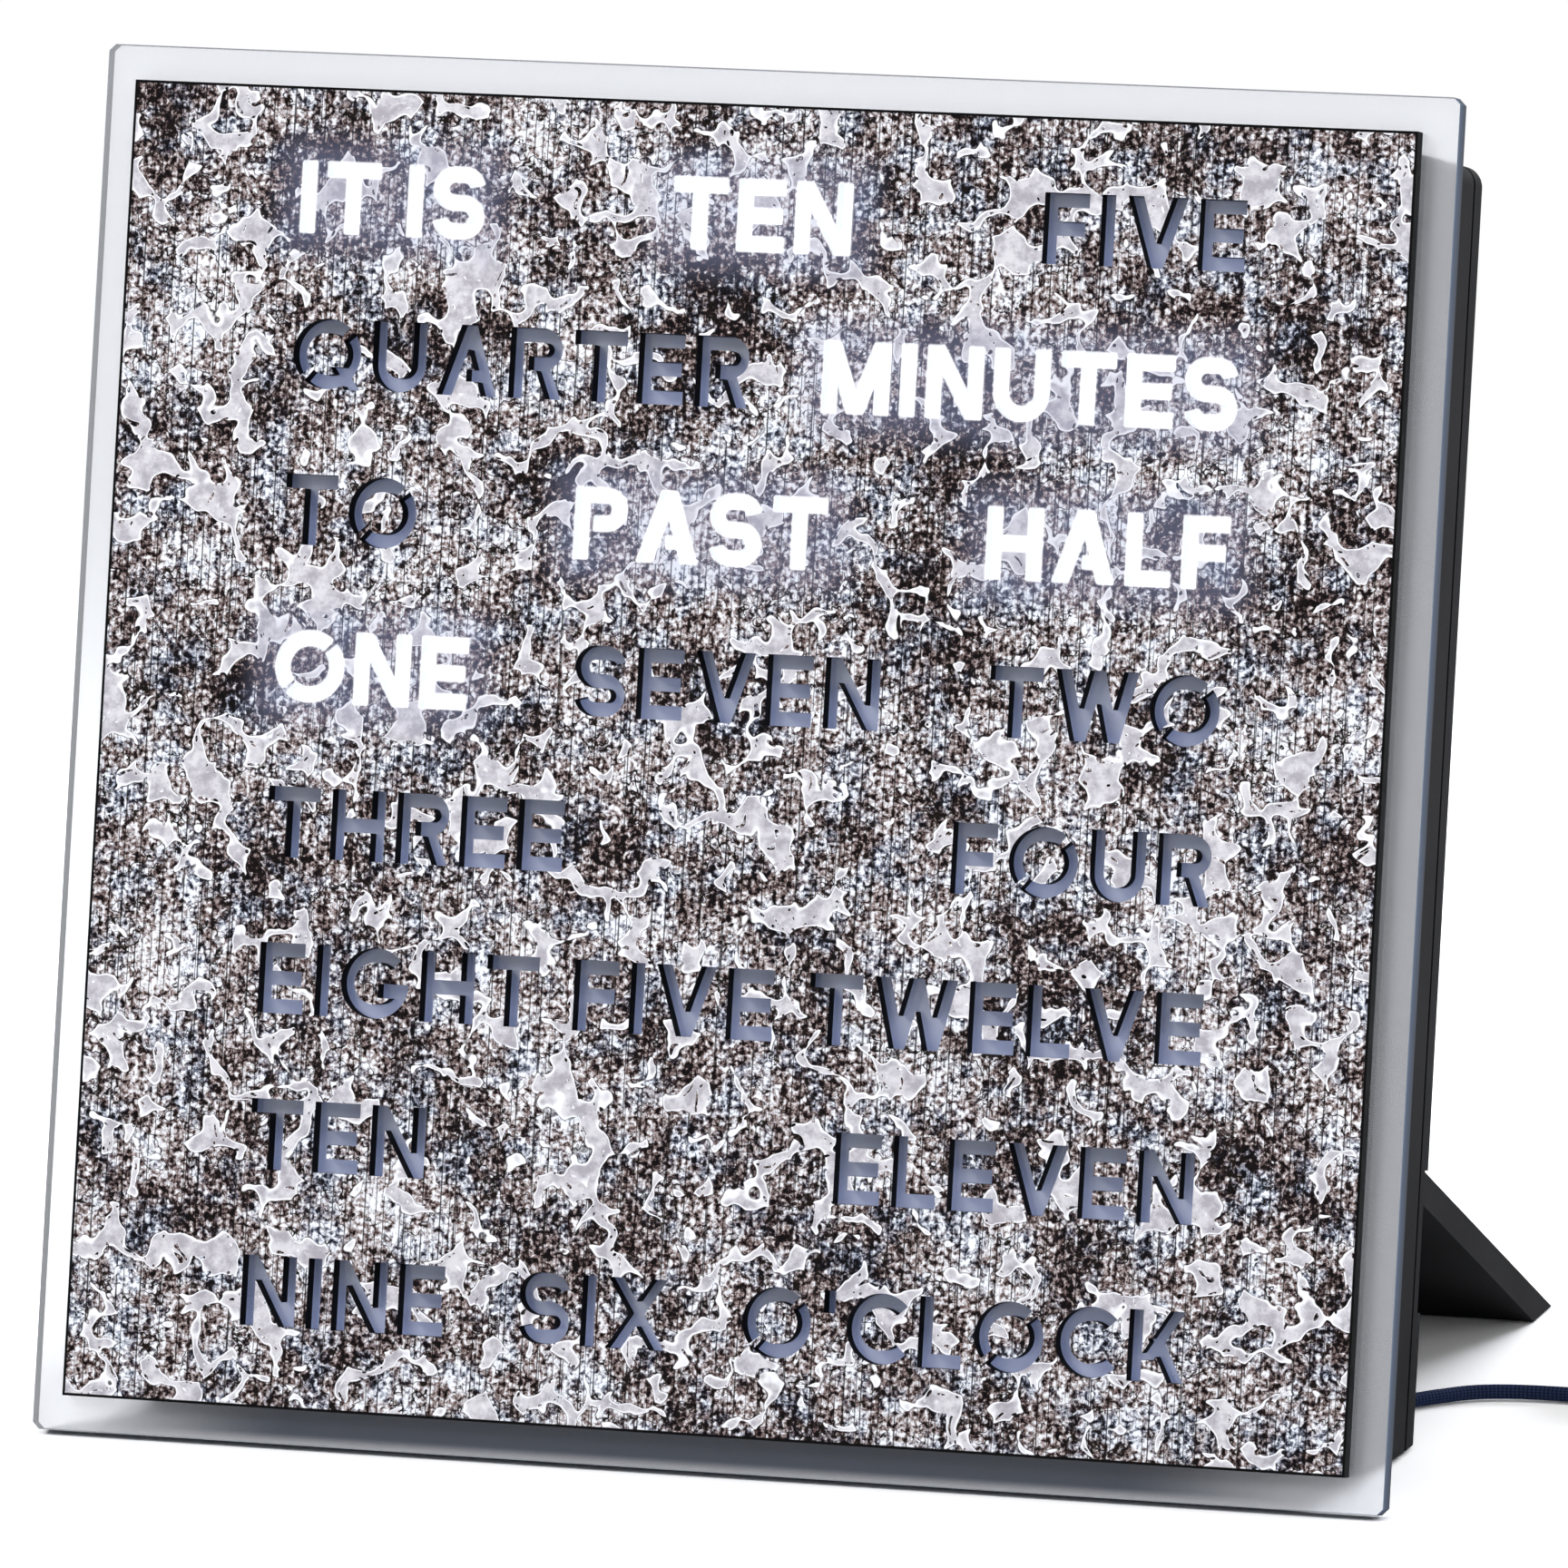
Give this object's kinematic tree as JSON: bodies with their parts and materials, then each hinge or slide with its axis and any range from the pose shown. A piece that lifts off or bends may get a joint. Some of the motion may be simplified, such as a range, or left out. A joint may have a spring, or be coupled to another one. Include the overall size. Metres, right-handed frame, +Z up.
{
  "type": "word clock",
  "caption": "Word clock: a clear glass pane leaning back, a stone-look plate with stencil words over lamps, a black casing, a fold-out foot and a corded supply plug.",
  "frame": {"origin": "on the table under the middle of the clock's own footprint, cord not counted", "axes": "+X to the right as the clock is read, +Y towards the back, +Z up; the words face -Y, leaning back 11 degrees"},
  "size_m": [0.2575, 0.1867, 0.202],
  "materials": {
    "glass_clear": "polished float glass with ground edges",
    "stone_laminate": "matt mottled stone-look coating on steel sheet",
    "black_casing": "matt black fine spark texture",
    "black_inside": "matt black moulded",
    "black_button": "satin black",
    "foam_tape": "black foam tape",
    "lit_diffuser": "opal white diffuser, lit from behind",
    "dark_diffuser": "opal diffuser, not lit",
    "board_green": "green solder mask",
    "lamp_white": "white lamp package",
    "chip_black": "black moulded package",
    "steel": "zinc-plated steel",
    "can_metal": "drawn metal can",
    "connector_cream": "cream moulded connector",
    "ribbon_grey": "grey ribbon cable",
    "cord_weave": "dark navy woven sleeve",
    "black_rubber": "soft black moulded",
    "plug_metal": "nickel-plated steel",
    "plug_white": "white moulded tongue"
  },
  "bodies": {
    "clock": {"glass_pane": "glass_clear", "face_plate": "stone_laminate", "mounting_tape": "foam_tape", "front_shell": "black_casing", "rear_cover": "black_casing", "light_baffle": "black_inside", "lit_tiles": "lit_diffuser", "dark_tiles": "dark_diffuser", "led_board": "board_green", "button_board": "board_green", "leds": "lamp_white", "word_switches": "chip_black", "driver_chips": "chip_black", "controller_chip": "chip_black", "clock_crystal": "can_metal", "capacitor": "can_metal", "coin_cell": "steel", "coin_cell_holder": "chip_black", "board_screws": "steel", "cover_screws": "steel", "button_board_screws": "steel", "hinge_pins": "steel", "tact_switches": "chip_black", "main_ribbon_header": "connector_cream", "button_ribbon_header": "connector_cream", "ribbon_cable": "ribbon_grey", "power_header": "connector_cream", "cord_bush": "black_rubber", "inner_lead": "cord_weave", "cable_tie": "black_inside", "cord": "cord_weave", "cord_coil": "cord_weave", "cord_tail": "cord_weave", "plug_relief": "black_rubber", "usb_plug_grip": "black_rubber", "usb_plug_shell": "plug_metal", "usb_plug_tongue": "plug_white"},
    "foot": {"foot": "black_casing"},
    "hour_button": {"hour_button": "black_button"},
    "minute_button": {"minute_button": "black_button"},
    "light_button": {"light_button": "black_button"}
  },
  "joints": [
    {"name": "foot_hinge", "type": "hinge", "parent": "clock", "child": "foot", "pos_m": [0, -0.02009, 0.04021], "axis": [1, 0, 0], "range_deg": [0, 102.7]},
    {"name": "hour_button_slide", "type": "slide", "parent": "clock", "child": "hour_button", "axis": [0, -0.9816, 0.1908], "range_m": [0, 0.0005], "stiffness_N_per_m": 3000},
    {"name": "minute_button_slide", "type": "slide", "parent": "clock", "child": "minute_button", "axis": [0, -0.9816, 0.1908], "range_m": [0, 0.0005], "stiffness_N_per_m": 3000},
    {"name": "light_button_slide", "type": "slide", "parent": "clock", "child": "light_button", "axis": [0, -0.9816, 0.1908], "range_m": [0, 0.0005], "stiffness_N_per_m": 3000}
  ]
}
